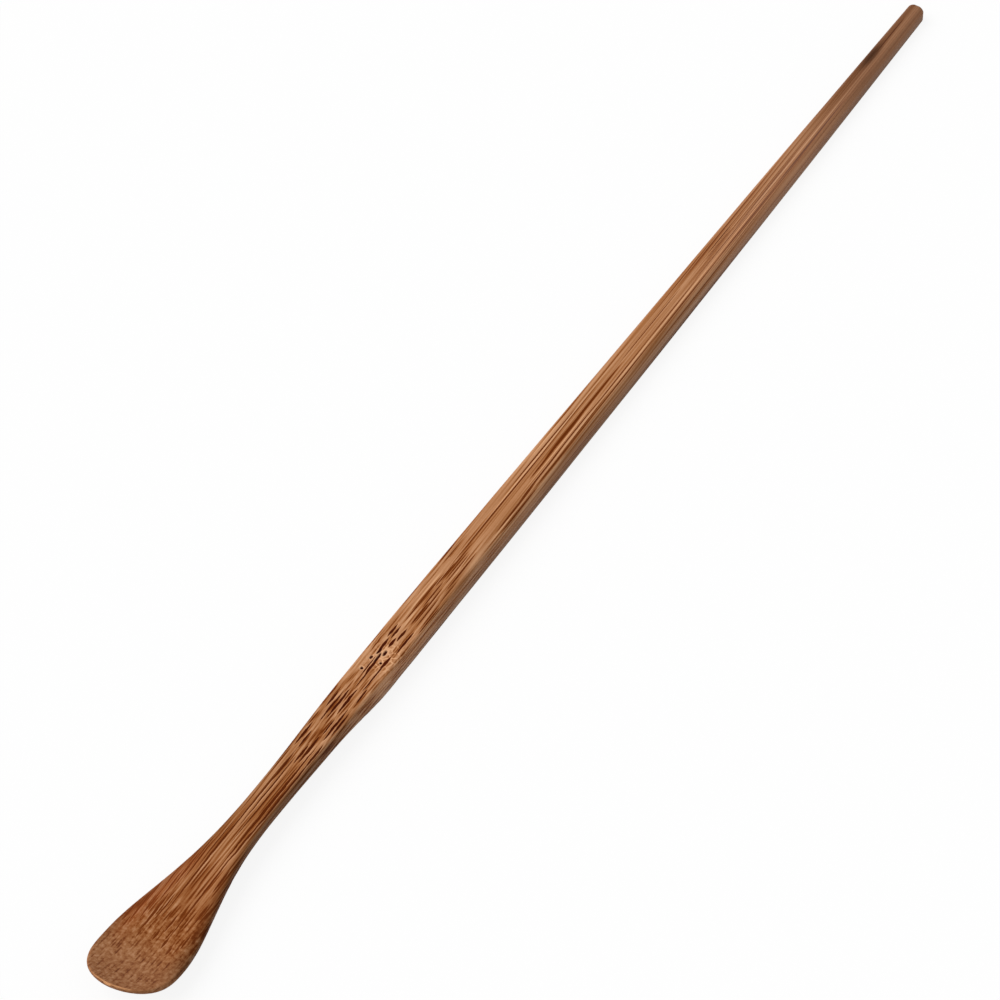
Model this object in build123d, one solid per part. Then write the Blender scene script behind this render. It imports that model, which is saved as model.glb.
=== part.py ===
from build123d import *
import math
import os

# Chashaku, the scoop for powdered tea: one strip of carbonised bamboo, carved in one piece.
# Millimetres. +X runs along the scoop to the blade's tip and +Z is up. The flat back of the handle
# rests on z = 0, and the origin lies under the middle of the length.

# Lengths that follow each other from the handle's end to the tip
HANDLE_LENGTH = 122.0     # handle's end to the growth node
NODE_LENGTH = 9.0         # the node's full width
WAIST_LENGTH = 16.0       # node narrowing to the neck
FLARE_LENGTH = 26.0       # neck opening to the blade's full width
BLADE_LENGTH = 7.0        # the blade at its full width, rounded tip included

# Widths
HANDLE_END_WIDTH = 2.15
HANDLE_SWELL = 0.4        # how far the middle of the handle is wider than a straight taper
NODE_WIDTH = 4.3
NECK_WIDTH = 3.75
BLADE_WIDTH = 10.1

# Thicknesses
HANDLE_END_THICKNESS = 2.1
NODE_THICKNESS = 3.25
NECK_THICKNESS = 2.0
RIM_THICKNESS = 1.2       # round the blade, up to the oval end
TIP_THICKNESS = 0.7

# Top face: a small fall past the node, a shallow bowl, and a tip that turns up
NECK_FALL = 0.2
BOWL_DEPTH = 0.45         # lowest point of the bowl under the neck's top
BOWL_LENGTH = 15.0        # the way down into the bowl
TURN_LENGTH = 10.5        # bowl's lowest point to the tip
TIP_RISE = 2.25           # tip over the bowl's lowest point
DISH_DEPTH = 0.35         # hollow across the blade's full width

# Back: cut away past the node, so that neck and blade stand clear of the table
RELIEF_OFFSET = 5.0       # start of the cut past the start of the node
RELIEF_LENGTH = 11.0
PLANED_OFF = 0.1          # taken off the back to make the handle's resting flat

# Softened edges
HANDLE_BEVEL = 0.65       # top edges of the handle
NODE_BEVEL = 0.3
RIM_EDGE = 0.2            # top edge round the blade
BACK_EDGE = 0.25          # lower edges of the handle
BLADE_BACK_EDGE = 0.45
BEVEL_CROWN = 0.62        # 0.5 is a straight bevel, 0.71 a quarter round
END_ROUND = 0.6           # handle's end
TIP_ROUND = 5.8           # length of the blade's oval end
TIP_FULLNESS = 2.15       # 2 is an ellipse, more is fuller at the corners
END_FACE_ANGLE = 20.0     # where on its quarter round the handle's end meets its small flat
TIP_FACE_ANGLE = 84.0     # where on its quarter oval the tip meets its small flat

SECTION_STEP = 3.0        # spacing of the carved sections past the node
HANDLE_SECTION_STEP = 9.0
STEP_GROWTH = 1.7         # growth of the spacing from the handle's end inwards

NODE_START = HANDLE_LENGTH
NODE_END = NODE_START + NODE_LENGTH
NECK = NODE_END + WAIST_LENGTH
FLARE_END = NECK + FLARE_LENGTH
LENGTH = FLARE_END + BLADE_LENGTH
END_ROUND_CENTRE = END_ROUND * math.cos(math.radians(END_FACE_ANGLE))
BOWL_LOWEST = LENGTH - TURN_LENGTH
TIP_START = LENGTH - min(TIP_ROUND, BLADE_LENGTH)
TIP_OVAL_END = TIP_START + (LENGTH - TIP_START) / math.sin(math.radians(TIP_FACE_ANGLE))
RELIEF_START = NODE_START + RELIEF_OFFSET
RELIEF_END = RELIEF_START + RELIEF_LENGTH


def share(u, start, end):
    """How far u lies from start to end, held between 0 and 1."""
    return min(max((u - start) / (end - start), 0.0), 1.0)


def ease(t):
    """A smooth step from 0 to 1."""
    return t * t * (3.0 - 2.0 * t)


def round_over(u, start, end, fullness):
    """1 at start, falling along a quarter oval to 0 at end."""
    return (1.0 - share(u, start, end) ** fullness) ** (1.0 / fullness)


def half_width(u):
    """Half of the plan outline's width at distance u from the handle's end."""
    along = share(u, 0.0, NODE_START)
    width = HANDLE_END_WIDTH + (NODE_WIDTH - HANDLE_END_WIDTH) * along
    width += 4.0 * HANDLE_SWELL * along * (1.0 - along)
    width += (NECK_WIDTH - NODE_WIDTH) * ease(share(u, NODE_END, NECK))
    width += (BLADE_WIDTH - NECK_WIDTH) * ease(share(u, NECK, FLARE_END) ** 1.6)
    return width / 2.0 * round_over(u, TIP_START, TIP_OVAL_END, TIP_FULLNESS)


def top_height(u):
    """Height of the top face on the centre line."""
    height = HANDLE_END_THICKNESS
    height += (NODE_THICKNESS - HANDLE_END_THICKNESS) * share(u, 0.0, NODE_START)
    height -= NECK_FALL * ease(share(u, NODE_END, NECK))
    height -= BOWL_DEPTH * ease(share(u, BOWL_LOWEST - BOWL_LENGTH, BOWL_LOWEST))
    return height + TIP_RISE * share(u, BOWL_LOWEST, LENGTH) ** 3


def back_height(u):
    """Height of the back face: just under the table plane on the handle, clear of it past the node."""
    blade_thickness = NECK_THICKNESS
    blade_thickness += (RIM_THICKNESS - NECK_THICKNESS) * share(u, RELIEF_END, TIP_START)
    blade_thickness += (TIP_THICKNESS - RIM_THICKNESS) * ease(share(u, TIP_START, LENGTH))
    cut = ease(share(u, RELIEF_START, RELIEF_END))
    return cut * (top_height(u) - blade_thickness) - (1.0 - cut) * PLANED_OFF


def end_inset(u):
    """How far every face draws in on the rounded handle end."""
    across = max(END_ROUND_CENTRE - u, 0.0) / END_ROUND
    return END_ROUND * (1.0 - math.sqrt(1.0 - across ** 2))


def top_bevel(u):
    """Width of the softened top edge: widest on the handle, narrower at the node and on the blade."""
    handle = HANDLE_BEVEL + (NODE_BEVEL - HANDLE_BEVEL) * ease(share(u, NODE_START / 2.0, NODE_START))
    return handle + (RIM_EDGE - NODE_BEVEL) * ease(share(u, NODE_END, FLARE_END))


def carved_section(u):
    """Closed outline across the scoop at distance u from the handle's end."""
    inset = end_inset(u)
    side = half_width(u) - inset
    top = top_height(u) - inset
    back = back_height(u) + inset
    thickness = top - back
    bevel = min(top_bevel(u), 0.6 * side, 0.4 * thickness)
    edge = BACK_EDGE + (BLADE_BACK_EDGE - BACK_EDGE) * ease(share(u, RELIEF_START, FLARE_END))
    edge = min(edge, 0.4 * side, 0.4 * thickness)
    dish = min(DISH_DEPTH * ease(share(u, NECK, FLARE_END)), 0.4 * thickness)
    dish *= 2.0 * half_width(u) / BLADE_WIDTH

    def at(y, z):
        return Vector(u - LENGTH / 2.0, y, z)

    def bevel_arc(sign):
        crown = at(sign * (side - bevel * (1.0 - BEVEL_CROWN)), top - bevel * (1.0 - BEVEL_CROWN))
        return Edge.make_three_point_arc(at(sign * (side - bevel), top), crown, at(sign * side, top - bevel))

    def back_arc(sign):
        turn = edge * (1.0 - math.sqrt(0.5))
        crown = at(sign * (side - turn), back + turn)
        return Edge.make_three_point_arc(at(sign * side, back + edge), crown, at(sign * (side - edge), back))

    def across(half, z, sag):
        if sag < 0.001:
            return Edge.make_line(at(-half, z), at(half, z))
        return Edge.make_three_point_arc(at(-half, z), at(0.0, z - sag), at(half, z))

    outline = [
        across(side - bevel, top, dish),
        bevel_arc(1),
        Edge.make_line(at(side, top - bevel), at(side, back + edge)),
        back_arc(1),
        across(side - edge, back, dish),
        back_arc(-1),
        Edge.make_line(at(-side, back + edge), at(-side, top - bevel)),
        bevel_arc(-1),
    ]
    return Wire(outline)


def spread(start, end, step):
    """Evenly spaced places from start up to, but without, end."""
    count = max(1, round((end - start) / step))
    return [start + (end - start) * i / count for i in range(count)]


def section_places():
    """Distances of the carved sections: close together on both rounded ends and past the node."""
    places = [END_ROUND_CENTRE - END_ROUND * math.cos(math.radians(a)) for a in (8, 22, 36, 50, 65, 80)]
    step = END_ROUND / 3.0
    while step < HANDLE_SECTION_STEP:
        places.append(places[-1] + step)
        step *= STEP_GROWTH
    places += spread(places[-1] + step, NODE_START, HANDLE_SECTION_STEP)
    places += spread(NODE_START, TIP_START, SECTION_STEP)
    oval = TIP_OVAL_END - TIP_START
    places += [TIP_START + oval * math.sin(math.radians(a)) for a in (0, 15, 30, 43, 54, 64, 72, 78, TIP_FACE_ANGLE)]
    return places


def make_scoop():
    """Loft the carved sections, plane the handle's back flat and saw its end square."""
    body = Solid.make_loft([carved_section(u) for u in section_places()])
    below = Pos(0, 0, -LENGTH / 2.0) * Box(2.0 * LENGTH, 2.0 * BLADE_WIDTH, LENGTH)
    beyond = Pos(-LENGTH, 0, 0) * Box(LENGTH, 2.0 * BLADE_WIDTH, LENGTH)
    return body - below - beyond


os.makedirs("parts", exist_ok=True)
scoop = make_scoop()
scoop.label = "scoop"
export_step(scoop, "parts/scoop.step")
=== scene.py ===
import math

import bmesh
import bpy
import numpy as np
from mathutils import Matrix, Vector
from mathutils.bvhtree import BVHTree


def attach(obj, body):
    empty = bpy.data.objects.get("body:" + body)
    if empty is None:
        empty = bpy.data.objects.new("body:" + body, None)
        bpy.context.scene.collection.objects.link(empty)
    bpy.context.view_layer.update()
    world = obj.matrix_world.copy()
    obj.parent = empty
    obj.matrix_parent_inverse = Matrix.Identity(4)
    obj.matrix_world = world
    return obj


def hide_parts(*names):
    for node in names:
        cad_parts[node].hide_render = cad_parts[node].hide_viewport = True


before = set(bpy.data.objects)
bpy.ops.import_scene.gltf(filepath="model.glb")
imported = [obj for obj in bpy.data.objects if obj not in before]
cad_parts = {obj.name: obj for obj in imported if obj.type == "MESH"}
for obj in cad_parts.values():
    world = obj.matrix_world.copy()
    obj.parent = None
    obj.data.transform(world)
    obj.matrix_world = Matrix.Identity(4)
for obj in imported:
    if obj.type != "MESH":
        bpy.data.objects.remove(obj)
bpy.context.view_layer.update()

# SCOOP, THE CARVED FORM
# One strip of carbonised bamboo, split from the culm, then cut to its plan and side profile with a
# knife and sanded. The skin is drawn over the solid ring by ring, close together at the growth node
# and on the blade, where the surface is busiest.
MM = 0.001
LENGTH = 180.0 * MM
HANDLE_END_ROUND = 0.7 * MM
TIP_START = 174.2 * MM
# Stretches of the length with even rings: start, end and spacing, in millimetres
RING_STRETCHES = [
    (0.7, 106.0, 0.6),      # handle
    (106.0, 119.0, 0.4),
    (119.0, 130.0, 0.16),   # node
    (130.0, 146.0, 0.3),    # waist
    (146.0, 160.0, 0.4),    # neck
    (160.0, 174.2, 0.24),   # blade
]
HANDLE_END_RINGS = 10
TIP_RINGS = 36
SKIN_POINTS = 184           # points round each ring
FEELERS = 720               # rays that feel for the solid's outline at each ring
END_CLEARANCE = 0.01 * MM   # the first and the last ring lie this far inside the ends
FIXED_END_RINGS = 12        # rings at each end that sanding along the length leaves alone
STROKES_ROUND = 6           # sanding round the rings
STROKES_ALONG = 5           # sanding along the length
SEAM_WIDTH = 0.0005 * MM    # points closer together than this become one


def ring_places():
    """Distances from the handle's end at which the skin has a ring of points."""
    first, last = END_CLEARANCE, LENGTH - END_CLEARANCE
    quarter = np.linspace(0.0, math.pi / 2.0, HANDLE_END_RINGS, endpoint=False)
    stretches = [first + (HANDLE_END_ROUND - first) * (1.0 - np.cos(quarter))]
    for start, end, spacing in RING_STRETCHES:
        count = round((end - start) / spacing)
        stretches.append(np.linspace(start * MM, end * MM, count, endpoint=False))
    quarter = np.linspace(0.0, math.pi / 2.0, TIP_RINGS)
    stretches.append(TIP_START + (last - TIP_START) * np.sin(quarter))
    return np.concatenate(stretches)


def section_outline(solid, x):
    """Evenly spaced points round the solid's section at x, from the top's middle and back to it."""
    above = solid.ray_cast(Vector((x, 0.0, 1.0)), Vector((0.0, 0.0, -1.0)))[0]
    below = solid.ray_cast(Vector((x, 0.0, -1.0)), Vector((0.0, 0.0, 1.0)))[0]
    middle = Vector((x, 0.0, (above.z + below.z) / 2.0))
    turns = math.pi / 2.0 + 2.0 * math.pi * np.arange(FEELERS) / FEELERS
    hits = [solid.ray_cast(middle, Vector((0.0, math.cos(a), math.sin(a))))[0] for a in turns]
    outline = np.array([(hit.y, hit.z) for hit in hits + hits[:1]])
    run = np.concatenate([[0.0], np.cumsum(np.linalg.norm(np.diff(outline, axis=0), axis=1))])
    even = np.linspace(0.0, run[-1], SKIN_POINTS + 1)
    y = np.interp(even, run, outline[:, 0])
    z = np.interp(even, run, outline[:, 1])
    return np.stack([np.full(SKIN_POINTS + 1, x), y, z], axis=1)


def sanded(skin):
    """Average each point with its neighbours round the ring and along the length, apart from the ends."""
    ring = skin[:, :-1]
    for _ in range(STROKES_ROUND):
        ring = 0.5 * ring + 0.25 * (np.roll(ring, 1, axis=1) + np.roll(ring, -1, axis=1))
    for _ in range(STROKES_ALONG):
        inner = 0.5 * ring[1:-1] + 0.25 * (ring[:-2] + ring[2:])
        inner[..., 0] = ring[1:-1, :, 0]
        inner[:FIXED_END_RINGS] = ring[1:FIXED_END_RINGS + 1]
        inner[-FIXED_END_RINGS:] = ring[-FIXED_END_RINGS - 1:-1]
        ring = np.concatenate([ring[:1], inner, ring[-1:]])
    return np.concatenate([ring, ring[:, :1]], axis=1)


def share_across(skin):
    """Where each point lies across its ring: -1 on the far side, 0 in the middle, 1 on the near side."""
    side = skin[..., 1]
    return side / np.abs(side).max(axis=1, keepdims=True)


cad_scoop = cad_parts["scoop"]
solid = BVHTree.FromObject(cad_scoop, bpy.context.evaluated_depsgraph_get())
skin = sanded(np.array([section_outline(solid, u - LENGTH / 2.0) for u in ring_places()]))

form = bmesh.new()
bmesh.ops.create_grid(form, x_segments=skin.shape[1] - 1, y_segments=skin.shape[0] - 1, size=1.0)
across_layer = form.verts.layers.float.new("across")
for point, place, side in zip(form.verts, skin.reshape(-1, 3), share_across(skin).ravel()):
    point.co = place
    point[across_layer] = side
bmesh.ops.remove_doubles(form, verts=form.verts, dist=SEAM_WIDTH)
bmesh.ops.holes_fill(form, edges=[e for e in form.edges if e.is_boundary], sides=0)
bmesh.ops.recalc_face_normals(form, faces=form.faces)
for face in form.faces:
    face.smooth = True
scoop_mesh = bpy.data.meshes.new("bamboo_scoop")
form.to_mesh(scoop_mesh)
form.free()
scoop = bpy.data.objects.new("bamboo_scoop", scoop_mesh)
bpy.context.scene.collection.objects.link(scoop)

# SCOOP, THE GRAIN
# Bamboo has no rings: dark bundles of fibre run the length of the strip in a paler ground. Where the
# knife follows them they show as long streaks, at the node they break up round small pits, and where
# the blade turns up they are cut across and shrink to a fine mottle.

# Sizes and places in millimetres, and places along the length from the handle's end
HANDLE_MIDDLE = 95.0
NODE_CENTRE = 124.5
NODE_REACH = 6.5
NECK = 147.0
TURN_START = 169.5          # where the blade turns up
TURN_LENGTH = 10.5
TURN_RISE = 2.25
TURN_POWER = 3.0
BUNDLE_LENGTH = 70.0        # a bundle of fibres from end to end on the handle
BUNDLE_SPACING = 0.46       # from bundle to bundle
BUNDLE_EDGE = (0.06, 0.32)  # full and gone, in spacings from a bundle's core
BUNDLE_FAINTEST = 0.3
BUNDLE_RANGE = 0.7          # how much stronger than the faintest a bundle can be
BLADE_BUNDLE_LENGTH = 25.0  # bundles on neck and blade
FIBRE_LENGTH = 30.0         # the finer fibres between the bundles
FIBRE_SPACING = 0.34
FIBRE_EDGE = (0.06, 0.40)
FIBRE_FAINTEST = 0.15
FIBRE_RANGE = 0.5
HAIRS_PER_FIBRE = 1.2       # the finest hairs, for one length of a finer fibre
STRAND_SCATTER = 0.9
SHEET_SLANT = 0.9           # the bundles lie in slanting sheets, so they show on the sides too
FAN_SLOPE = 0.015           # how far the near side's fibres lean out over the handle's length
FAN_REACH = 1.2             # the fan opens between these distances from the middle line
FAN_CLOSING = 5.0           # the fan closes over this length past the node's centre
RUN_OUT_START = 158.0       # where the blade starts to cut the fibres
RUN_OUT_RATE = 0.008
RUN_OUT_END = 174.0         # the last fibres stop here, others up to this much earlier
RUN_OUT_SPREAD = 6.0
RUN_OUT_FADE = 1.5
# Where the bundles break up into shorter lengths: start, end and how many more fit in between
BREAKS = [(103.0, 122.0, 1.2), (119.0, NECK, 3.5)]
# The bends that the fibres follow past the node: start, end and fall
BENDS = [(131.0, NECK, 0.20), (154.5, TURN_START, 0.45)]
# How the fibres wander: length and width of a wave, how far it goes, and which layer of the noise it is
SWAY_LENGTH = 25.0
SWAY_WIDTH = 2.5
SWAY = 0.25
SWAY_RISE = 0.5             # share of it that also goes up and down
SWAY_LAYER = 1.7
SWIRL_LENGTH = 1.4          # the tighter swirl at the node
SWIRL = 0.6
SWIRL_LAYER = 5.3
PATCH_LENGTH = 30.0         # paler and darker patches of the ground
PATCH_WIDTH = 1.4
TOP_FACING = (-0.1, 0.3)    # how far up a face looks, from the sides to the top
# Pale streaks of the handle: distance from the handle's end, place across, half length and half width
# Those that follow the handle's near top edge, from 31 to about 98 mm, are a painted highlight along it; the
# rest are paler fibres
PALE_STREAKS = [
    (31.0, 0.36, 11.0, 0.13),
    (48.0, 0.68, 10.0, 0.14),
    (58.0, 0.86, 10.0, 0.15),
    (73.0, 1.02, 10.0, 0.11),
    (86.0, 1.18, 8.0, 0.10),
    (92.5, 1.34, 6.0, 0.09),
    (97.5, 1.55, 4.0, 0.08),
    (92.5, 1.84, 4.0, 0.10),
    (97.5, 2.00, 4.0, 0.13),
    (102.5, 2.12, 4.0, 0.12),
    (102.0, 1.58, 3.5, 0.10),
    (88.0, 0.64, 9.0, 0.08),
    (92.0, -0.64, 9.0, 0.08),
    (88.5, -1.40, 5.0, 0.15),
    (102.5, -0.80, 6.0, 0.12),
    (115.0, -0.70, 3.0, 0.12),
    (118.0, -0.04, 2.6, 0.14),
    (118.0, -1.38, 3.0, 0.15),
]
# Dark streaks of the handle, in the same order of sizes
HANDLE_STREAKS = [
    (6.8, -0.20, 4.0, 0.16),
    (29.0, 0.69, 10.0, 0.14),
    (45.0, 0.93, 9.0, 0.11),
    (60.0, 1.16, 10.0, 0.08),
    (75.0, 1.30, 9.0, 0.08),
    (39.0, 0.18, 8.0, 0.08),
    (50.0, 0.40, 8.0, 0.08),
    (63.0, 0.66, 8.0, 0.09),
    (74.0, 0.80, 8.0, 0.09),
    (49.0, -0.45, 3.0, 0.09),
    (50.0, -0.10, 3.2, 0.08),
    (66.0, -0.28, 7.0, 0.08),
    (79.5, 0.07, 7.5, 0.20),
    (86.0, 0.20, 6.0, 0.28),
    (91.0, 0.34, 3.6, 0.15),
    (89.5, -0.87, 7.8, 0.09),
    (97.0, -0.43, 13.0, 0.10),
    (85.5, 0.88, 6.0, 0.09),
    (93.0, 1.06, 5.0, 0.10),
    (99.0, 1.31, 4.6, 0.13),
    (84.0, 1.43, 5.0, 0.055),
    (90.5, 1.54, 5.0, 0.08),
    (99.0, 1.78, 4.2, 0.09),
    (91.0, 2.14, 6.0, 0.10),
    (109.5, -0.06, 4.0, 0.10),
    (110.0, 0.20, 2.8, 0.09),
    (110.6, 0.52, 3.0, 0.08),
    (112.0, -0.20, 2.4, 0.08),
    (110.8, 1.14, 3.6, 0.12),
    (116.2, -0.40, 4.4, 0.10),
    (115.2, 0.20, 2.4, 0.09),
    (118.4, 0.46, 2.2, 0.12),
    (117.0, 0.66, 3.4, 0.09),
    (118.0, 1.12, 2.8, 0.10),
    (114.0, 1.50, 2.2, 0.08),
    (118.5, 1.86, 2.5, 0.09),
]
# Dark dashes of the node, the waist, the neck and the blade
DASHES = [
    (122.1, -0.83, 0.85, 0.13),
    (122.1, -0.38, 0.85, 0.12),
    (122.1, 0.42, 0.85, 0.13),
    (123.6, 0.08, 0.60, 0.15),
    (122.9, 1.35, 1.40, 0.13),
    (124.4, -0.58, 0.95, 0.15),
    (128.3, 1.05, 2.70, 0.09),
    (126.5, 1.05, 0.95, 0.17),
    (129.0, 0.03, 2.00, 0.08),
    (127.7, -0.08, 1.00, 0.13),
    (127.9, -0.42, 1.20, 0.07),
    (132.0, 1.37, 0.90, 0.10),
    (133.3, 0.36, 1.60, 0.14),
    (134.1, -0.33, 1.90, 0.13),
    (134.7, -0.78, 1.90, 0.11),
    (133.9, -1.25, 1.20, 0.11),
    (136.9, 1.08, 2.00, 0.13),
    (136.6, 1.50, 1.30, 0.11),
    (137.5, 0.55, 1.00, 0.09),
    (139.6, -1.33, 1.40, 0.13),
    (140.2, -0.78, 1.10, 0.11),
    (141.3, 0.42, 1.70, 0.16),
    (142.1, 0.00, 1.20, 0.13),
    (141.9, 1.42, 1.40, 0.12),
    (144.8, -0.75, 1.60, 0.13),
    (151.0, -0.80, 8.00, 0.07),
    (150.4, 0.92, 7.20, 0.16),
    (149.0, 1.42, 5.50, 0.12),
    (156.2, 1.33, 1.80, 0.12),
    (148.8, -0.33, 4.70, 0.07),
    (150.4, 0.17, 4.70, 0.07),
    (161.1, -0.90, 5.40, 0.10),
    (163.9, 1.26, 5.90, 0.10),
    (168.3, -1.94, 2.30, 0.12),
    (168.3, -3.60, 1.80, 0.10),
    (161.3, 2.10, 1.30, 0.12),
    (166.0, 2.64, 1.30, 0.12),
    (168.5, 0.40, 1.10, 0.11),
    (170.6, -0.10, 0.60, 0.12),
    (171.0, 1.30, 0.60, 0.13),
    (171.8, 2.30, 0.50, 0.12),
    (169.9, 3.20, 0.80, 0.11),
    (160.0, -1.62, 2.50, 0.07),
    (164.5, -2.30, 2.00, 0.08),
    (167.5, -2.85, 1.80, 0.09),
    (169.5, -4.20, 1.20, 0.10),
    (167.0, -1.35, 1.50, 0.08),
    (157.2, -1.22, 3.00, 0.06),
    (158.8, -1.86, 1.80, 0.06),
    (162.0, -2.02, 2.00, 0.07),
    (163.4, -2.80, 1.70, 0.07),
    (166.0, -3.42, 1.50, 0.08),
]
# The dashes are drawn out to points at both ends
POINT_ALONG = (0.52, 0.0, 0.0)
POINT_ACROSS = (0.0, 0.86, 0.0)
# Open pits of the node
PITS = [
    (125.4, -0.50, 0.55, 0.18),
    (125.4, 0.25, 0.55, 0.23),
    (126.3, -0.13, 0.80, 0.17),
    (126.6, -0.80, 0.26, 0.16),
    (128.5, -0.83, 0.22, 0.20),
    (126.8, 0.58, 0.16, 0.20),
]
# Edges of the marks, where 1 is a mark's outline: full up to the first value, gone at the second
STREAK_EDGE = (0.7, 1.25)
DASH_EDGE = (0.8, 1.35)
PIT_EDGE = (0.6, 1.2)
PALE_EDGE = (0.4, 1.3)
LIP_EDGE = (1.2, 1.9)       # the pale lip round a pit
HALO_EDGE = (1.2, 2.2)      # the pale ground beside a dash
# How pale the pale marks are
PALE_STREAK = 1.5
PALE_LIP = 1.4
PALE_HALO = 0.35
PALE_SCAR = 2.2
# How ragged the marks are, and the length, width and layer of the noise that frays them
STREAK_RAGGED = 0.5
DASH_RAGGED = 0.9
PIT_RAGGED = 1.2
FRAY_LENGTH = 0.7
FRAY_WIDTH = 0.25
FRAY_LAYER = 7.7
FRAY_ALONG = (142.0, 146.0, 1.0, 0.4)
# How far the swirl at the node carries the dashes and pits, along and across
CARRIED_ALONG = 0.5
CARRIED_ACROSS = 0.16
# Pale scars of the node: centre and reach along and across, how many there are and how wide
SCARS_ALONG = (125.8, 3.4)
SCARS_ACROSS = (0.6, 2.4)
SCARS_PER_MM = 1.3
SCAR_EDGE = (0.04, 0.17)


def add_node(tree, kind, inputs=(), **settings):
    """A node with its settings, whose inputs are given in order as sockets or plain values."""
    made = tree.nodes.new(kind)
    for name, value in settings.items():
        setattr(made, name, value)
    for socket, value in zip(made.inputs, inputs):
        if isinstance(value, bpy.types.NodeSocket):
            tree.links.new(value, socket)
        else:
            socket.default_value = value
    return made


def calc(tree, operation, *values):
    """The result of one operation on numbers."""
    return add_node(tree, "ShaderNodeMath", values, operation=operation).outputs[0]


def product(tree, first, *others):
    """All the values multiplied with each other."""
    result = first
    for value in others:
        result = calc(tree, "MULTIPLY", result, value)
    return result


def past(tree, value, start):
    """How far a value lies past a start, and 0 before it."""
    return calc(tree, "MAXIMUM", calc(tree, "SUBTRACT", value, start), 0.0)


def step(tree, value, low, high, start=0.0, end=1.0):
    """A smooth step from start to end while value goes from low to high."""
    made = add_node(tree, "ShaderNodeMapRange", (value, low, high, start, end))
    made.interpolation_type = "SMOOTHSTEP"
    return made.outputs[0]


def fade(tree, value, edge, full=1.0):
    """Full up to an edge's first value, falling smoothly to nothing at its second."""
    return step(tree, value, *edge, full, 0.0)


def bell(tree, value, centre, reach):
    """1 at centre, falling smoothly to 0 at reach on both sides."""
    away = calc(tree, "ABSOLUTE", calc(tree, "SUBTRACT", value, centre))
    return fade(tree, away, (0.0, reach))


def vector_calc(tree, operation, *values):
    """The result of one operation on vectors: a vector, or a number for a length or a dot product."""
    made = add_node(tree, "ShaderNodeVectorMath", values, operation=operation)
    return made.outputs["Value" if operation in ("LENGTH", "DOT_PRODUCT") else "Vector"]


def scaled(tree, vector, amount):
    """A vector or a colour times an amount."""
    made = add_node(tree, "ShaderNodeVectorMath", (vector,), operation="SCALE")
    tree.links.new(amount, made.inputs["Scale"])
    return made.outputs["Vector"]


def parts_of(tree, vector):
    """The three parts of a vector."""
    return add_node(tree, "ShaderNodeSeparateXYZ", (vector,)).outputs


def spot(tree, along, sideways, up=0.0):
    """A place made of its three parts."""
    return add_node(tree, "ShaderNodeCombineXYZ", (along, sideways, up)).outputs[0]


def pattern(tree, kind, place, values, **settings):
    """A pattern at a place, with its values set by name."""
    made = add_node(tree, kind, **settings)
    tree.links.new(place, made.inputs["Vector"])
    for name, value in values.items():
        made.inputs[name].default_value = value
    return made.outputs


def noise(tree, along, sideways, up, detail=2.0, roughness=0.5):
    """Noise at a place given by three stretched parts, from about -0.5 to 0.5."""
    values = {"Scale": 1.0, "Detail": detail, "Roughness": roughness}
    place = spot(tree, along, sideways, up)
    found = pattern(tree, "ShaderNodeTexNoise", place, values, noise_dimensions="3D")
    return calc(tree, "SUBTRACT", found[0], 0.5)


def strands(tree, along, sideways, edge):
    """Long dark cores side by side: how dark they are, and a number from 0 to 1 for each of them."""
    values = {"Scale": 1.0, "Randomness": STRAND_SCATTER}
    cells = pattern(tree, "ShaderNodeTexVoronoi", spot(tree, along, sideways), values,
                    voronoi_dimensions="2D", feature="F1")
    return fade(tree, cells["Distance"], edge), parts_of(tree, cells["Color"])[0]


def unfanned(marks):
    """Marks of the handle, moved to where they would lie if its fibres didn't fan out."""
    moved = []
    for along, sideways, half_length, half_width in marks:
        opened = min(max((sideways + FAN_REACH) / (2.0 * FAN_REACH), 0.0), 1.0)
        lean = FAN_SLOPE * (along - HANDLE_MIDDLE) * opened * opened * (3.0 - 2.0 * opened)
        moved.append((along, sideways - lean, half_length, half_width))
    return moved


def nearest(tree, place, marks, pointed=False):
    """Distance to the nearest of a list of marks, oval or pointed, where 1 is a mark's outline."""
    found = None
    for along, sideways, half_length, half_width in marks:
        shrink = (1.0 / half_length, 1.0 / half_width, 0.0)
        shift = (-along / half_length, -sideways / half_width, 0.0)
        offset = vector_calc(tree, "MULTIPLY_ADD", place, shrink, shift)
        if pointed:
            away = vector_calc(tree, "ABSOLUTE", offset)
            drawn = vector_calc(tree, "MULTIPLY_ADD", away, POINT_ALONG, POINT_ACROSS)
            far = vector_calc(tree, "DOT_PRODUCT", away, drawn)
        else:
            far = vector_calc(tree, "LENGTH", offset)
        found = far if found is None else calc(tree, "MINIMUM", found, far)
    return found


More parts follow.
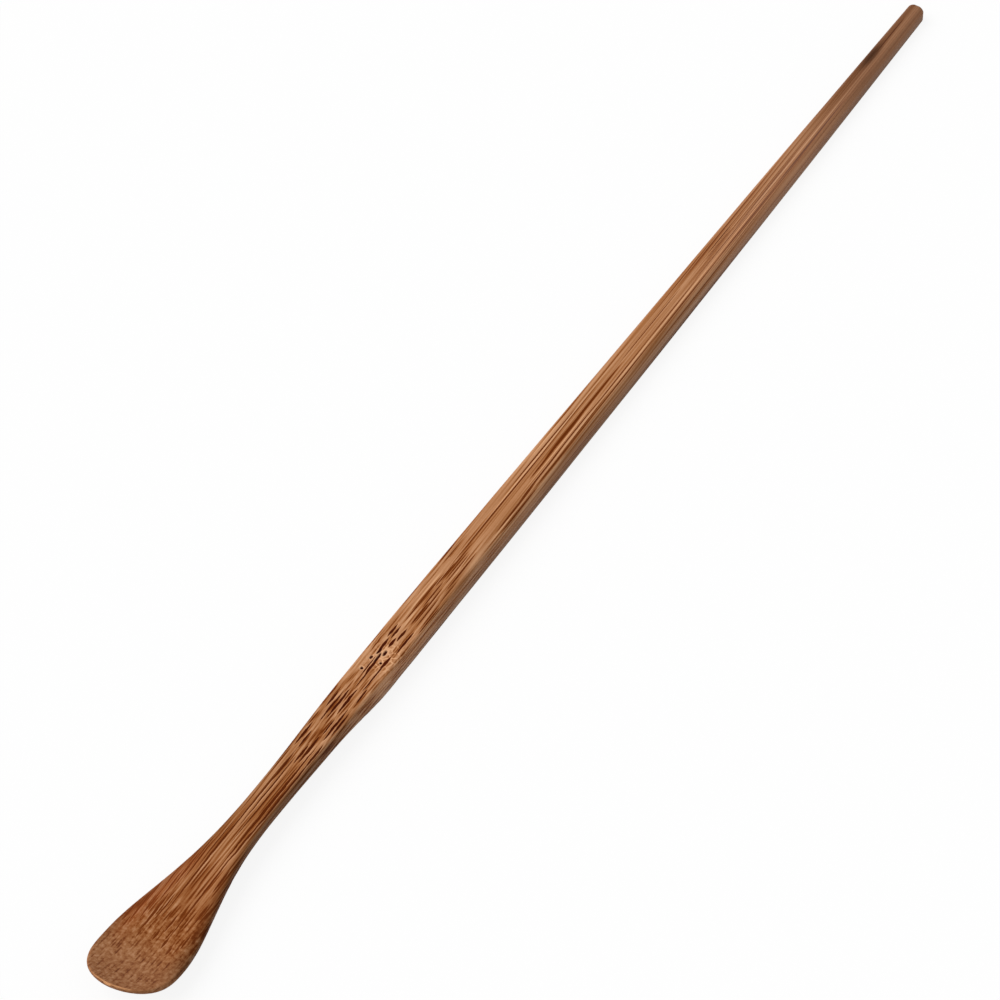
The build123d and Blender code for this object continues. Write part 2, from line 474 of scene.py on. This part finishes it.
def grain(tree, place, normal):
    """Masks of the grain at a place in metres: lines, hairs, patches, streaks, pits and pale marks."""
    metres = parts_of(tree, place)
    u = calc(tree, "MULTIPLY_ADD", metres[0], 1.0 / MM, LENGTH / MM / 2.0)
    y = calc(tree, "MULTIPLY", metres[1], 1.0 / MM)
    z = calc(tree, "MULTIPLY", metres[2], 1.0 / MM)
    facing_up = step(tree, parts_of(tree, normal)[2], *TOP_FACING)

    # the run of the fibres: they fan out on the handle, swirl at the node and follow the blade's bends
    sway = noise(tree, calc(tree, "DIVIDE", u, SWAY_LENGTH), calc(tree, "DIVIDE", y, SWAY_WIDTH), SWAY_LAYER)
    swirl = noise(tree, calc(tree, "DIVIDE", u, SWIRL_LENGTH), y, SWIRL_LAYER)
    lean = product(tree, calc(tree, "SUBTRACT", u, HANDLE_MIDDLE), FAN_SLOPE,
                   step(tree, y, -FAN_REACH, FAN_REACH),
                   step(tree, u, NODE_CENTRE + FAN_CLOSING, NODE_CENTRE))
    unleaned = calc(tree, "SUBTRACT", y, lean)
    wander = product(tree, swirl, bell(tree, u, NODE_CENTRE, NODE_REACH), SWIRL)
    wander = calc(tree, "MULTIPLY_ADD", sway, SWAY, wander)
    y_line = calc(tree, "ADD", unleaned, wander)
    z_line = calc(tree, "MULTIPLY_ADD", wander, SWAY_RISE, z)
    for start, end, fall in BENDS:
        z_line = calc(tree, "ADD", z_line, step(tree, u, start, end, 0.0, fall))
    turned = calc(tree, "DIVIDE", past(tree, u, TURN_START), TURN_LENGTH)
    turned = calc(tree, "POWER", turned, TURN_POWER)
    z_line = calc(tree, "MULTIPLY_ADD", turned, -TURN_RISE, z_line)
    sheet = calc(tree, "MULTIPLY_ADD", z_line, -SHEET_SLANT, y_line)

    # bundles of fibre, with finer fibres between them, which stop one by one on the blade
    cut = past(tree, u, RUN_OUT_START)
    cut = product(tree, cut, cut, RUN_OUT_RATE)
    for start, end, more in BREAKS:
        cut = calc(tree, "ADD", cut, step(tree, u, start, end, 0.0, more))
    cut = calc(tree, "MULTIPLY_ADD", past(tree, u, NECK), 1.0 / BLADE_BUNDLE_LENGTH, cut)
    along = calc(tree, "MULTIPLY_ADD", u, 1.0 / BUNDLE_LENGTH, cut)
    bundles, chance = strands(tree, along, calc(tree, "DIVIDE", sheet, BUNDLE_SPACING), BUNDLE_EDGE)
    stop = calc(tree, "MULTIPLY_ADD", chance, RUN_OUT_SPREAD, u)
    bundles = product(tree, bundles,
                      step(tree, stop, RUN_OUT_END + RUN_OUT_FADE, RUN_OUT_END - RUN_OUT_FADE),
                      calc(tree, "MULTIPLY_ADD", chance, BUNDLE_RANGE, BUNDLE_FAINTEST))
    along = calc(tree, "MULTIPLY_ADD", u, 1.0 / FIBRE_LENGTH, cut)
    sideways = calc(tree, "DIVIDE", sheet, FIBRE_SPACING)
    fibres, chance = strands(tree, along, sideways, FIBRE_EDGE)
    fibres = product(tree, fibres, calc(tree, "MULTIPLY_ADD", chance, FIBRE_RANGE, FIBRE_FAINTEST))
    lines = calc(tree, "MAXIMUM", bundles, fibres)
    hairs = noise(tree, calc(tree, "MULTIPLY", along, HAIRS_PER_FIBRE), sideways, 0.0, detail=1.0)
    patches = noise(tree, calc(tree, "DIVIDE", u, PATCH_LENGTH), calc(tree, "DIVIDE", y_line, PATCH_WIDTH),
                    calc(tree, "DIVIDE", z_line, PATCH_WIDTH))

    # streaks, dashes and pits, with slightly ragged edges
    fray = noise(tree, calc(tree, "DIVIDE", u, FRAY_LENGTH), calc(tree, "DIVIDE", y, FRAY_WIDTH), FRAY_LAYER)
    fray = calc(tree, "MULTIPLY", fray, step(tree, u, *FRAY_ALONG))
    handle_place = spot(tree, u, unleaned)
    front_place = spot(tree, calc(tree, "MULTIPLY_ADD", swirl, CARRIED_ALONG, u),
                       calc(tree, "MULTIPLY_ADD", swirl, CARRIED_ACROSS, y))
    streak_far = nearest(tree, handle_place, unfanned(HANDLE_STREAKS))
    streak_far = calc(tree, "MULTIPLY_ADD", hairs, STREAK_RAGGED, streak_far)
    dash_far = nearest(tree, front_place, DASHES, pointed=True)
    dash = fade(tree, calc(tree, "MULTIPLY_ADD", fray, DASH_RAGGED, dash_far), DASH_EDGE)
    streak = calc(tree, "MAXIMUM", fade(tree, streak_far, STREAK_EDGE), dash)
    pit_far = calc(tree, "MULTIPLY_ADD", fray, PIT_RAGGED, nearest(tree, front_place, PITS))

    # pale streaks, the pale lips of pits and dashes, and pale scars that wander across the node
    # the pale streaks that follow the handle's near top edge are a painted highlight along it
    pale_far = nearest(tree, handle_place, unfanned(PALE_STREAKS))
    pale_far = calc(tree, "MULTIPLY_ADD", hairs, STREAK_RAGGED, pale_far)
    web = pattern(tree, "ShaderNodeTexVoronoi", front_place, {"Scale": SCARS_PER_MM, "Randomness": 1.0},
                  voronoi_dimensions="2D", feature="DISTANCE_TO_EDGE")
    scars = product(tree, fade(tree, web["Distance"], SCAR_EDGE, PALE_SCAR),
                    bell(tree, u, *SCARS_ALONG), bell(tree, y, *SCARS_ACROSS))
    lips = fade(tree, pit_far, LIP_EDGE, PALE_LIP)
    halos = fade(tree, dash_far, HALO_EDGE, PALE_HALO)
    pale = fade(tree, pale_far, PALE_EDGE, PALE_STREAK)
    for mark in (lips, halos, scars):
        pale = calc(tree, "MAXIMUM", pale, mark)
    return {
        "u": u,
        "y": y,
        "z": z,
        "facing_up": facing_up,
        "lines": lines,
        "hairs": hairs,
        "patches": patches,
        "streak": calc(tree, "MULTIPLY", streak, facing_up),
        "pit": calc(tree, "MULTIPLY", fade(tree, pit_far, PIT_EDGE), facing_up),
        "pale": calc(tree, "MULTIPLY", pale, facing_up),
    }


# Relief worked into the mesh: dark fibres lie in fine grooves, the pits are open, and the knife has
# left the flats a little uneven. It dies out at both ends, which are sanded smooth
LINE_DEPTH = 0.025 * MM
STREAK_DEPTH = 0.025 * MM
PIT_DEPTH = 0.12 * MM
KNIFE_DEPTH = 0.02 * MM
KNIFE_LENGTH = 7.0
KNIFE_WIDTH = 2.5
HANDLE_END_SMOOTH = 0.6
TIP_SMOOTH = 0.8

relief = bpy.data.node_groups.new("grain_relief", "GeometryNodeTree")
relief.interface.new_socket("Geometry", in_out="INPUT", socket_type="NodeSocketGeometry")
relief.interface.new_socket("Geometry", in_out="OUTPUT", socket_type="NodeSocketGeometry")
raw = relief.nodes.new("NodeGroupInput")
worked = relief.nodes.new("NodeGroupOutput")
normal = relief.nodes.new("GeometryNodeInputNormal").outputs[0]
masks = grain(relief, relief.nodes.new("GeometryNodeInputPosition").outputs[0], normal)
knife = noise(relief, calc(relief, "DIVIDE", masks["u"], KNIFE_LENGTH),
              calc(relief, "DIVIDE", masks["y"], KNIFE_WIDTH),
              calc(relief, "DIVIDE", masks["z"], KNIFE_WIDTH), detail=1.0)
depth = calc(relief, "MULTIPLY", calc(relief, "ADD", knife, 0.5), KNIFE_DEPTH)
for mask, deepest in (("lines", LINE_DEPTH), ("streak", STREAK_DEPTH), ("pit", PIT_DEPTH)):
    depth = calc(relief, "MULTIPLY_ADD", masks[mask], deepest, depth)
inward = product(relief, depth, step(relief, masks["u"], 0.0, HANDLE_END_SMOOTH),
                 step(relief, masks["u"], LENGTH / MM, LENGTH / MM - TIP_SMOOTH), -1.0)
move = relief.nodes.new("GeometryNodeSetPosition")
relief.links.new(raw.outputs[0], move.inputs["Geometry"])
relief.links.new(scaled(relief, normal, inward), move.inputs["Offset"])
relief.links.new(move.outputs[0], worked.inputs[0])

carve = scoop.modifiers.new("grain_relief", "NODES")
carve.node_group = relief
worked_mesh = bpy.data.meshes.new_from_object(scoop.evaluated_get(bpy.context.evaluated_depsgraph_get()))
scoop.modifiers.clear()
scoop.data = worked_mesh
bpy.data.meshes.remove(scoop_mesh)
worked_mesh.name = "bamboo_scoop"

# SCOOP, THE FINISH
# Carbonised bamboo is steamed until it is brown all through. It is sanded and left nearly dry, so the
# ground is a satin tan, the fibres a redder dark brown, and the handle's end is singed darker.
# Some light is painted into the colour too: shade along the edges, highlights on the tip's lip and the
# handle's near top edge, and a reflection greying the lower sides.


def srgb(red, green, blue):
    """A colour given as it looks on screen, 0 to 255, in linear values."""
    def linear(c):
        c /= 255.0
        return c / 12.92 if c <= 0.04045 else ((c + 0.055) / 1.055) ** 2.4
    return (linear(red), linear(green), linear(blue), 1.0)


# From the palest ground to the darkest fibre
GRAIN_COLOURS = [
    (0.02, srgb(210, 159, 118)),
    (0.26, srgb(191, 137, 97)),
    (0.50, srgb(167, 109, 65)),
    (0.74, srgb(137, 75, 32)),
    (0.88, srgb(110, 50, 8)),
    (1.00, srgb(68, 18, 0)),
]
PIT_BROWN = srgb(54, 11, 1)
# Painted highlight on the tip's lip
TIP_HIGHLIGHT = srgb(240, 172, 116)
SINGED = srgb(104, 54, 26)
SMUDGE = srgb(70, 40, 22)
# Painted reflection of the white table, greying the lower sides
TABLE_REFLECTION_GREY = srgb(158, 132, 116)
WORN_PINK = srgb(196, 158, 138)
FLANK_RED = srgb(172, 86, 44)
# Along the length, in millimetres: brightness, how strongly the fibres show, tone of the ground, and
# how dark the streaks are
# Over the blade the brightness falls towards the tip, partly as painted shade on the upturned tip and partly
# for the darker, cut-across wood there
ALONG = [
    (0.0, 0.70, 0.30, 0.54, 0.92),
    (16.0, 0.66, 0.30, 0.54, 0.92),
    (30.0, 0.87, 0.45, 0.52, 0.95),
    (48.0, 0.96, 0.58, 0.52, 0.90),
    (70.0, 1.00, 0.80, 0.57, 0.85),
    (84.0, 1.00, 0.90, 0.55, 0.90),
    (95.0, 1.02, 0.60, 0.50, 0.90),
    (100.0, 1.02, 0.35, 0.47, 0.90),
    (108.0, 1.02, 0.70, 0.49, 0.88),
    (119.0, 1.04, 0.80, 0.51, 0.92),
    (122.0, 1.05, 0.80, 0.52, 1.00),
    (130.0, 1.04, 0.80, 0.52, 1.00),
    (137.0, 0.99, 0.95, 0.69, 1.00),
    (147.0, 0.97, 0.90, 0.64, 0.95),
    (163.0, 0.95, 0.88, 0.80, 0.92),
    (171.0, 0.90, 0.74, 0.77, 0.90),
    (176.0, 0.84, 0.50, 0.66, 0.80),
    (180.0, 0.84, 0.45, 0.64, 0.80),
]
LEVEL_ROOM = 2.0            # the first two levels can go up to this
LINE_LEVEL = 0.30           # share of the width that the dark lines take
PATCH_TONE = 0.35           # how far the patches change the tone
DARKEST_LINE = 0.88
# The pale marks' brightening is partly a painted highlight along the handle's near top edge, partly paler
# fibres
PALE_TONE = -0.28           # how far the pale marks change the tone, and the brightness
PALE_BRIGHTNESS_AND_HIGHLIGHT = 0.08
MOTTLE_SIZE = 0.44
MOTTLE_WIDTH = 0.42
# Steps along the length and across it: start, end and the strength before and after
HAIRS_ALONG = (167.0, 174.0, 1.5, 0.6)
MOTTLE_ALONG = (163.0, 171.0, 0.1, 1.25)
FLANK_START = (156.0, 162.0, 0.0, 0.45)
FLANK_END = (175.0, 169.0)
FLANK_ACROSS = (-0.35, -0.85, 0.16, 0.8)
# Painted shade along the near and far edges of the neck and blade
NEAR_RIM_SHADE = (0.55, 1.0, 0.0, 0.50)
FAR_RIM_SHADE = (-0.72, -1.0, 0.0, 0.32)
RIM_SHADE_START = (127.0, 143.0)
RIM_SHADE_END = (177.0, 172.0)
# Painted shade on the handle's top towards its near edge
NEAR_TOP_SHADE_ACROSS = (0.25, 0.7, 0.0, 0.15)
NEAR_TOP_SHADE_START = (45.0, 65.0)
NEAR_TOP_SHADE_END = (122.0, 114.0)
# Where the painted highlight on the tip's lip lies, along the length and across it
TIP_HIGHLIGHT_ALONG = (174.5, 177.5)
TIP_HIGHLIGHT_FAR = (-3.0, 0.0, 0.1, 0.9)
TIP_HIGHLIGHT_NEAR = (1.6, 3.4, 1.0, 0.1)
PINK_HANDLE = (75.0, 20.0, 0.0, 0.22)
PINK_ACROSS = (-0.5, 0.5, 0.4, 1.0)
PINK_TIP = (170.0, 176.0, 0.0, 0.08)
SINGE_ALONG = (36.0, 10.0, 0.0, 0.55)
SINGE_ACROSS = (0.35, -0.45)
SIDE_FACING = (0.5, 0.95)
GREY_REFLECTION_BELOW = (2.2, 0.0, 0.0, 0.5)
LIGHT_SIDE = (60.0, 20.0, 0.0, 0.28)
# Oval outline of the tip, in millimetres, and the share of it where the painted highlight on the lip starts
# and is full
TIP_OVAL_LENGTH = 5.83
TIP_FULLNESS = 2.15
BLADE_HALF = 5.05
TIP_HIGHLIGHT_SHARE = (0.87, 0.98)
# The smudge near the handle's end
SMUDGES = [(11.2, -0.42, 4.4, 0.95)]
SMUDGE_EDGE = (0.1, 1.0)
SMUDGE_STRENGTH = 0.8
SMUDGE_WANDER = 3.0
# A satin surface: the reflection, the roughness of pale and dark wood, and the finest grooves
REFLECTION = 0.04
ROUGHNESS = (0.1, 0.9, 0.44, 0.62)
HAIR_HEIGHT = 0.5
GROOVE_DEPTH = 0.03 * MM


def mix(tree, share, first, second):
    """A share of the second colour over the first."""
    made = add_node(tree, "ShaderNodeMix", data_type="RGBA")
    for socket, value in ((made.inputs[0], share), (made.inputs[6], first), (made.inputs[7], second)):
        if isinstance(value, bpy.types.NodeSocket):
            tree.links.new(value, socket)
        else:
            socket.default_value = value
    return made.outputs[2]


def ramp(tree, value, stops):
    """A colour ramp with its stops given as place and colour: its colour and its fourth value."""
    made = add_node(tree, "ShaderNodeValToRGB", (value,))
    edge = made.color_ramp.elements
    edge[0].position, edge[0].color = stops[0]
    edge[1].position, edge[1].color = stops[-1]
    for place, colour in stops[1:-1]:
        edge.new(place).color = colour
    return made.outputs


bamboo = bpy.data.materials.new("carbonised_bamboo")
bamboo.use_nodes = True
tree = bamboo.node_tree
shader = tree.nodes["Principled BSDF"]
coordinates = tree.nodes.new("ShaderNodeTexCoord")
masks = grain(tree, coordinates.outputs["Object"], coordinates.outputs["Normal"])
u, y, z = masks["u"], masks["y"], masks["z"]

# the tone of ground, fibres and marks
stops = []
for at, bright, strong, ground, mark in ALONG:
    stops.append((at * MM / LENGTH, (bright / LEVEL_ROOM, strong / LEVEL_ROOM, ground, mark)))
levels, mark_tone = ramp(tree, calc(tree, "DIVIDE", u, LENGTH / MM), stops)
levels = add_node(tree, "ShaderNodeSeparateColor", (levels,)).outputs
bright = calc(tree, "MULTIPLY", levels[0], LEVEL_ROOM)
strong = calc(tree, "MULTIPLY", levels[1], LEVEL_ROOM)
line_tone = calc(tree, "SUBTRACT", masks["lines"], LINE_LEVEL)
line_tone = calc(tree, "MULTIPLY_ADD", masks["hairs"], step(tree, u, *HAIRS_ALONG), line_tone)
tone = calc(tree, "MULTIPLY_ADD", line_tone, strong, levels[2])
tone = calc(tree, "MULTIPLY_ADD", masks["patches"], PATCH_TONE, tone)
mottle = noise(tree, calc(tree, "DIVIDE", u, MOTTLE_SIZE), calc(tree, "DIVIDE", y, MOTTLE_WIDTH),
               calc(tree, "DIVIDE", z, MOTTLE_SIZE), detail=3.0, roughness=0.6)
tone = calc(tree, "MULTIPLY_ADD", mottle, step(tree, u, *MOTTLE_ALONG), tone)
tone = calc(tree, "MINIMUM", tone, DARKEST_LINE)
tone = calc(tree, "MULTIPLY_ADD", masks["pale"], PALE_TONE, tone)
tone = calc(tree, "MAXIMUM", tone, calc(tree, "MULTIPLY", masks["streak"], mark_tone))
colour = ramp(tree, tone, GRAIN_COLOURS)[0]
colour = mix(tree, masks["pit"], colour, PIT_BROWN)

# the blade is reddish on its far flank; neck and blade get painted shade at both edges, the handle's top at
# its near side
sideways = add_node(tree, "ShaderNodeAttribute", attribute_name="across").outputs["Fac"]
flank = product(tree, step(tree, u, *FLANK_START), step(tree, u, *FLANK_END),
                step(tree, sideways, *FLANK_ACROSS))
colour = mix(tree, flank, colour, FLANK_RED)
# painted shade along both edges of neck and blade
rim_shade = calc(tree, "ADD", step(tree, sideways, *NEAR_RIM_SHADE), step(tree, sideways, *FAR_RIM_SHADE))
rim_shade = product(tree, rim_shade, step(tree, u, *RIM_SHADE_START), step(tree, u, *RIM_SHADE_END))
# painted shade on the handle's top towards its near edge
near_top_shade = product(tree, step(tree, sideways, *NEAR_TOP_SHADE_ACROSS), step(tree, u, *NEAR_TOP_SHADE_START), step(tree, u, *NEAR_TOP_SHADE_END))
bright = calc(tree, "MULTIPLY", bright, calc(tree, "SUBTRACT", 1.0, calc(tree, "ADD", rim_shade, near_top_shade)))
# pale marks are brightened: a painted highlight along the handle's near top edge, paler fibres and scars
# elsewhere
bright = calc(tree, "MULTIPLY_ADD", masks["pale"], PALE_BRIGHTNESS_AND_HIGHLIGHT, bright)

# a painted highlight lies along the lip of the tip
tip_along = calc(tree, "DIVIDE", past(tree, u, TIP_START / MM), TIP_OVAL_LENGTH)
tip_across = calc(tree, "DIVIDE", calc(tree, "ABSOLUTE", y), BLADE_HALF)
tip_share = calc(tree, "ADD", calc(tree, "POWER", tip_along, TIP_FULLNESS),
                 calc(tree, "POWER", tip_across, TIP_FULLNESS))
tip_highlight = product(tree, step(tree, tip_share, *TIP_HIGHLIGHT_SHARE), step(tree, u, *TIP_HIGHLIGHT_ALONG),
              step(tree, y, *TIP_HIGHLIGHT_FAR), step(tree, y, *TIP_HIGHLIGHT_NEAR), masks["facing_up"])
colour = mix(tree, tip_highlight, colour, TIP_HIGHLIGHT)

# handle's end and tip are worn pinkish, and the end is singed on its far side and smudged
pink = calc(tree, "MULTIPLY", step(tree, u, *PINK_HANDLE), step(tree, y, *PINK_ACROSS))
pink = calc(tree, "ADD", pink, step(tree, u, *PINK_TIP))
colour = mix(tree, pink, colour, WORN_PINK)
singe = calc(tree, "MULTIPLY", step(tree, y, *SINGE_ACROSS), step(tree, u, *SINGE_ALONG))
colour = mix(tree, singe, colour, SINGED)
smudge_place = spot(tree, calc(tree, "MULTIPLY_ADD", masks["patches"], SMUDGE_WANDER, u), y)
smudge = fade(tree, nearest(tree, smudge_place, SMUDGES), SMUDGE_EDGE, SMUDGE_STRENGTH)
colour = mix(tree, smudge, colour, SMUDGE)

# both sides are greyer towards the back, a painted reflection of the white table, and lighter by the handle's
# end
side = calc(tree, "ABSOLUTE", parts_of(tree, coordinates.outputs["Normal"])[1])
side = step(tree, side, *SIDE_FACING)
colour = mix(tree, calc(tree, "MULTIPLY", side, step(tree, z, *GREY_REFLECTION_BELOW)), colour, TABLE_REFLECTION_GREY)
lighter = calc(tree, "MULTIPLY_ADD", side, step(tree, u, *LIGHT_SIDE), 1.0)
bright = calc(tree, "MULTIPLY", bright, lighter)
tree.links.new(scaled(tree, colour, bright), shader.inputs["Base Color"])

shader.inputs["Specular IOR Level"].default_value = REFLECTION
tree.links.new(step(tree, tone, *ROUGHNESS), shader.inputs["Roughness"])
bump = add_node(tree, "ShaderNodeBump", invert=True)
bump.inputs["Strength"].default_value = 1.0
bump.inputs["Distance"].default_value = GROOVE_DEPTH
tree.links.new(calc(tree, "MULTIPLY_ADD", masks["hairs"], HAIR_HEIGHT, masks["lines"]), bump.inputs["Height"])
tree.links.new(bump.outputs[0], shader.inputs["Normal"])
scoop.data.materials.clear()
scoop.data.materials.append(bamboo)

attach(scoop, "root")
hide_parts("scoop")

# TABLE AND LIGHT
# A plain white table under a pale, even studio light. The key comes from the far side of the handle,
# so the near side lies in soft shade and the scoop keeps a faint shadow on the table.
TABLE_HALF = 3.0
TABLE_GAP = 0.02 * MM       # between the table and the scoop's flat back
TABLE_SEEN = 0.12           # the part of the table's white that takes shadow
TABLE_GLOW = 0.88           # the part that doesn't
TABLE_BOUNCE = 0.60         # the light that the table throws back on the scoop
SKY_LIGHT = 0.45
KEY_STRENGTH = 2.05
KEY_SPREAD = math.radians(50.0)
KEY_FROM = Vector((0.35, -0.55, 0.76))


def grey(level):
    """A grey, from 0 for black to 1 for white."""
    return (level, level, level, 1.0)


def seen_directly(tree):
    """1 where an eye, a reflection or a clear thing looks at a surface, 0 for its light on others."""
    rays = tree.nodes.new("ShaderNodeLightPath").outputs
    seen = calc(tree, "MAXIMUM", rays["Is Camera Ray"], rays["Is Glossy Ray"])
    return calc(tree, "MAXIMUM", seen, rays["Is Transmission Ray"])


table_form = bmesh.new()
bmesh.ops.create_grid(table_form, x_segments=1, y_segments=1, size=TABLE_HALF)
bmesh.ops.translate(table_form, verts=table_form.verts, vec=(0.0, 0.0, -TABLE_GAP))
table_mesh = bpy.data.meshes.new("table")
table_form.to_mesh(table_mesh)
table_form.free()
table = bpy.data.objects.new("table", table_mesh)
bpy.context.scene.collection.objects.link(table)

table_white = bpy.data.materials.new("table_white")
table_white.use_nodes = True
tree = table_white.node_tree
shader = tree.nodes["Principled BSDF"]
shader.inputs["Roughness"].default_value = 1.0
shader.inputs["Specular IOR Level"].default_value = 0.0
shader.inputs["Emission Color"].default_value = grey(1.0)
seen = seen_directly(tree)
tree.links.new(mix(tree, seen, grey(TABLE_BOUNCE), grey(TABLE_SEEN)), shader.inputs["Base Color"])
tree.links.new(calc(tree, "MULTIPLY", seen, TABLE_GLOW), shader.inputs["Emission Strength"])
table.data.materials.append(table_white)

world = bpy.data.worlds.new("studio")
bpy.context.scene.world = world
world.use_nodes = True
tree = world.node_tree
sky = tree.nodes["Background"]
sky.inputs["Color"].default_value = grey(1.0)
sky_strength = calc(tree, "MULTIPLY_ADD", seen_directly(tree), 1.0 - SKY_LIGHT, SKY_LIGHT)
tree.links.new(sky_strength, sky.inputs["Strength"])

key_light = bpy.data.lights.new("key", "SUN")
key_light.energy = KEY_STRENGTH
key_light.angle = KEY_SPREAD
key = bpy.data.objects.new("key", key_light)
key.rotation_euler = KEY_FROM.to_track_quat("Z", "Y").to_euler()
bpy.context.scene.collection.objects.link(key)

# CAMERA
# Level, above the blade's end and to the scoop's left side, at the photograph's viewing angle.
AZIMUTH = math.radians(121.51)
ELEVATION = math.radians(48.53)
DISTANCE = 0.6
AIM = Vector((6.715 * MM, -2.25 * MM, 0.0))
SENSOR_WIDTH = 36.0
LENS = 187.0
CLOSEST = 0.01
camera_data = bpy.data.cameras.new("camera")
camera_data.sensor_width = SENSOR_WIDTH
camera_data.lens = LENS
camera_data.clip_start = CLOSEST
camera = bpy.data.objects.new("camera", camera_data)
level = math.cos(ELEVATION)
away = Vector((level * math.sin(AZIMUTH), -level * math.cos(AZIMUTH), math.sin(ELEVATION)))
camera.location = AIM + away * DISTANCE
camera.rotation_euler = away.to_track_quat("Z", "Y").to_euler()
bpy.context.scene.collection.objects.link(camera)
bpy.context.scene.camera = camera
bpy.context.scene.view_settings.view_transform = "Standard"
